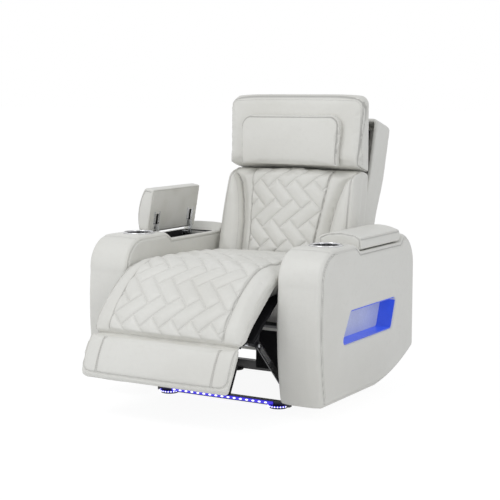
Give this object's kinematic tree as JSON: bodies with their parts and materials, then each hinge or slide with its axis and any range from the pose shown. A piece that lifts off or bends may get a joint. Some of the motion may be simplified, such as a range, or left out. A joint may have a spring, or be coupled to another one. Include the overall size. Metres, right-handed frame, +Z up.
{
  "type": "power recliner",
  "caption": "Single upholstered power recliner with a quilted chaise footrest, tilting headrest, arm storage consoles, cup holders and lit panels in the arms.",
  "frame": {"origin": "on the floor below the middle of the whole outline, with the footrest part out", "axes": "+Z up, -Y to the front of the chair, +X to the right of a person who looks at its front"},
  "size_m": [0.965, 1.2522, 1.0956],
  "materials": {
    "upholstery": "ivory grained leatherette over foam",
    "outer_shell": "ivory leatherette over a hard shell",
    "black_steel": "black powder coat",
    "bright_steel": "polished",
    "cup_steel": "satin steel",
    "plywood": "bare plywood",
    "black_plastic": "moulded black",
    "drive_metal": "dark anodised",
    "strap_web": "black elastic web",
    "rubber_feet": "black rubber",
    "window_plastic": "translucent blue plastic",
    "window_light": "lit diffuser",
    "light_strip": "lit silicone strip",
    "keys": "silver lacquer"
  },
  "bodies": {
    "chair": {"base_frame": "black_steel", "base_feet": "rubber_feet", "led_strip": "light_strip", "seat_frame": "plywood", "seat_straps": "strap_web", "seat_cushion": "upholstery", "arm_left": "upholstery", "arm_right": "upholstery", "cup_holder_left": "cup_steel", "cup_holder_right": "cup_steel", "storage_tray_left": "black_plastic", "storage_tray_right": "black_plastic", "lid_hinge_necks_left": "bright_steel", "lid_hinge_necks_right": "bright_steel", "window_housing_left": "window_plastic", "window_housing_right": "window_plastic", "window_panels": "window_light", "control_panel": "black_plastic", "power_supply": "black_plastic", "rear_skirt": "outer_shell", "mechanism_plates": "black_steel", "back_brackets": "black_steel", "leg_drive": "drive_metal", "back_drive": "drive_metal"},
    "legrest": {"legrest_board": "plywood", "legrest_pad": "upholstery", "legrest_brackets": "black_steel", "fold_hinge_upper": "black_steel"},
    "foot_flap": {"foot_board": "plywood", "foot_pad": "upholstery", "fold_hinge_lower": "black_steel"},
    "swing_arms": {"swing_links": "black_steel", "torque_tube": "black_steel"},
    "carry_arms": {"carry_links": "black_steel", "cross_rod": "black_steel"},
    "leg_carriage": {"leg_nut": "black_plastic"},
    "back_carriage": {"back_nut": "black_plastic"},
    "head_carriage": {"head_nut": "black_plastic"},
    "back": {"back_frame": "black_steel", "back_fork": "black_steel", "back_panel": "plywood", "back_cushion": "upholstery", "back_shell": "outer_shell", "head_drive": "drive_metal", "head_brackets": "black_steel"},
    "headrest": {"head_yoke": "black_steel", "head_fork": "black_steel", "head_cushion": "upholstery", "head_pillow": "upholstery"},
    "console_lid_left": {"lid_pad_left": "upholstery", "lid_board_left": "plywood", "lid_hinge_cups_left": "bright_steel"},
    "console_lid_right": {"lid_pad_right": "upholstery", "lid_board_right": "plywood", "lid_hinge_cups_right": "bright_steel"},
    "key_1": {"button_1": "keys"},
    "key_2": {"button_2": "keys"},
    "key_3": {"button_3": "keys"},
    "key_4": {"button_4": "keys"}
  },
  "joints": [
    {"name": "legrest", "type": "hinge", "parent": "chair", "child": "legrest", "pos_m": [0, -0.23, 0.424], "axis": [-1, 0, 0], "range_deg": [-50, 21]},
    {"name": "foot_flap", "type": "hinge", "parent": "legrest", "child": "foot_flap", "pos_m": [0, -0.52997, 0.27034], "axis": [-1, 0, 0], "range_deg": [-75.1, 31.6]},
    {"name": "swing_arms", "type": "hinge", "parent": "chair", "child": "swing_arms", "pos_m": [0, -0.08002, 0.27402], "axis": [-1, 0, 0], "range_deg": [-50.1, 21.1]},
    {"name": "carry_arms", "type": "hinge", "parent": "legrest", "child": "carry_arms", "pos_m": [0, -0.36996, 0.25896], "axis": [-1, 0, 0], "range_deg": [-21.1, 50.1]},
    {"name": "leg_drive", "type": "slide", "parent": "chair", "child": "leg_carriage", "axis": [0, -1, 0], "range_m": [-0.0735, 0.03099]},
    {"name": "back_recline", "type": "hinge", "parent": "chair", "child": "back", "pos_m": [0, 0.3, 0.4], "axis": [-1, 0, 0], "range_deg": [0, 32]},
    {"name": "back_drive", "type": "slide", "parent": "chair", "child": "back_carriage", "axis": [0, -1, 0], "range_m": [-0.0002, 0.05181]},
    {"name": "headrest_tilt", "type": "hinge", "parent": "back", "child": "headrest", "pos_m": [0, 0.47482, 0.792], "axis": [1, 0, 0], "range_deg": [-22, 0]},
    {"name": "head_drive", "type": "slide", "parent": "back", "child": "head_carriage", "axis": [0, 0.2756, 0.9613], "range_m": [-0.02205, 0.0002]},
    {"name": "console_lid_left", "type": "hinge", "parent": "chair", "child": "console_lid_left", "pos_m": [-0.459, 0.1335, 0.596], "axis": [0, -1, 0], "range_deg": [-80, 5]},
    {"name": "console_lid_right", "type": "hinge", "parent": "chair", "child": "console_lid_right", "pos_m": [0.459, 0.1335, 0.596], "axis": [0, 1, 0], "range_deg": [0, 85]},
    {"name": "key_1", "type": "slide", "parent": "chair", "child": "key_1", "axis": [1, 0, 0], "range_m": [0, 0.0015], "stiffness_N_per_m": 500},
    {"name": "key_2", "type": "slide", "parent": "chair", "child": "key_2", "axis": [1, 0, 0], "range_m": [0, 0.0015], "stiffness_N_per_m": 500},
    {"name": "key_3", "type": "slide", "parent": "chair", "child": "key_3", "axis": [1, 0, 0], "range_m": [0, 0.0015], "stiffness_N_per_m": 500},
    {"name": "key_4", "type": "slide", "parent": "chair", "child": "key_4", "axis": [1, 0, 0], "range_m": [0, 0.0015], "stiffness_N_per_m": 500}
  ],
  "couplings": [
    {"joint": "foot_flap", "follows": "legrest", "ratio": 1.5},
    {"joint": "swing_arms", "follows": "legrest", "ratio": 1},
    {"joint": "carry_arms", "follows": "legrest", "ratio": -1},
    {"joint": "leg_drive", "follows": "legrest", "m_per_rad": 0.084},
    {"joint": "back_drive", "follows": "back_recline", "m_per_rad": 0.092415},
    {"joint": "head_drive", "follows": "headrest_tilt", "m_per_rad": 0.056906}
  ]
}
